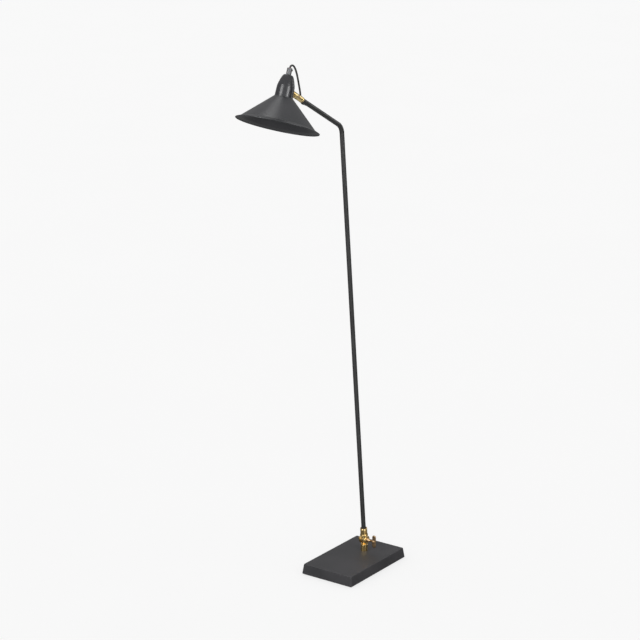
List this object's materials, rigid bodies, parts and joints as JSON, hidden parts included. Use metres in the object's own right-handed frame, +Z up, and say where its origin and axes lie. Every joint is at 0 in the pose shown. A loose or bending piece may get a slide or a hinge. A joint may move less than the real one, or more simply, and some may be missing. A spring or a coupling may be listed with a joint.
{
  "type": "adjustable arm floor lamp",
  "caption": "Floor lamp with a block base, a clamped leaning pole bent over into an arm, a conical shade on a tilting hinge, and a looped flex at the head.",
  "frame": {"origin": "centre of the base's underside, on the floor", "axes": "+Z up; the arm and the shade reach towards -Y; the hinges turn about X; the wing key is on the +X side"},
  "size_m": [0.2194, 0.5909, 1.4682],
  "materials": {
    "base_paint": "satin black paint over a smooth casting",
    "tube_paint": "satin black powder coat",
    "shade_enamel": "satin black enamel outside and inside",
    "gloss_black": "semi-gloss black enamel",
    "lacquered_brass": "polished brass, lacquered",
    "aged_brass": "brass darkened by handling",
    "dark_ring": "dark soft sealing ring",
    "zinc_steel": "bright zinc plate",
    "felt": "pressed black felt",
    "black_nylon": "moulded black nylon",
    "grey_rubber": "pale grey soft grommet",
    "phenolic": "moulded black phenolic",
    "shell_metal": "bright pressed shell",
    "smoke_nylon": "smoky translucent nylon",
    "opal_glass": "opal white",
    "cord_jacket": "matt black flexible jacket"
  },
  "bodies": {
    "base": {"base_casting": "base_paint", "base_cover": "zinc_steel", "cover_screws": "zinc_steel", "floor_pad": "felt", "inlet_bush": "black_nylon", "stem_nipple": "zinc_steel", "stem_washer": "zinc_steel", "stem_nut": "zinc_steel", "column": "lacquered_brass", "fork": "lacquered_brass", "cap_nut": "aged_brass", "key_washer": "aged_brass"},
    "key": {"wing_key": "aged_brass"},
    "arm": {"pole_ferrule": "lacquered_brass", "ferrule_screw": "zinc_steel", "pole_ring": "dark_ring", "pole_tube": "tube_paint", "arm_grommet": "grey_rubber", "arm_ring": "dark_ring", "arm_ferrule": "lacquered_brass", "hinge_screw": "aged_brass"},
    "head": {"head_lug": "lacquered_brass", "lug_screw": "zinc_steel", "socket_cap": "gloss_black", "shade": "shade_enamel", "lampholder": "phenolic", "shade_ring": "phenolic", "screw_shell": "shell_metal", "centre_contact": "lacquered_brass", "cap_nipple": "zinc_steel", "nipple_nut": "zinc_steel", "strain_relief": "smoke_nylon", "relief_screw": "zinc_steel", "bulb_cap": "shell_metal", "bulb_globe": "opal_glass", "head_cord": "cord_jacket"}
  },
  "joints": [
    {"name": "pole_tilt", "type": "hinge", "parent": "base", "child": "arm", "pos_m": [0, 0.0513, 0.0642], "axis": [1, 0, 0], "range_deg": [-30, 30]},
    {"name": "head_tilt", "type": "hinge", "parent": "arm", "child": "head", "pos_m": [0, -0.26959, 1.38512], "axis": [1, 0, 0], "range_deg": [-35, 35], "deforming": ["head_cord"]},
    {"name": "key_turn", "type": "hinge", "parent": "base", "child": "key", "pos_m": [0, 0.0513, 0.0642], "axis": [1, 0, 0], "range_deg": [-90, 90]}
  ]
}
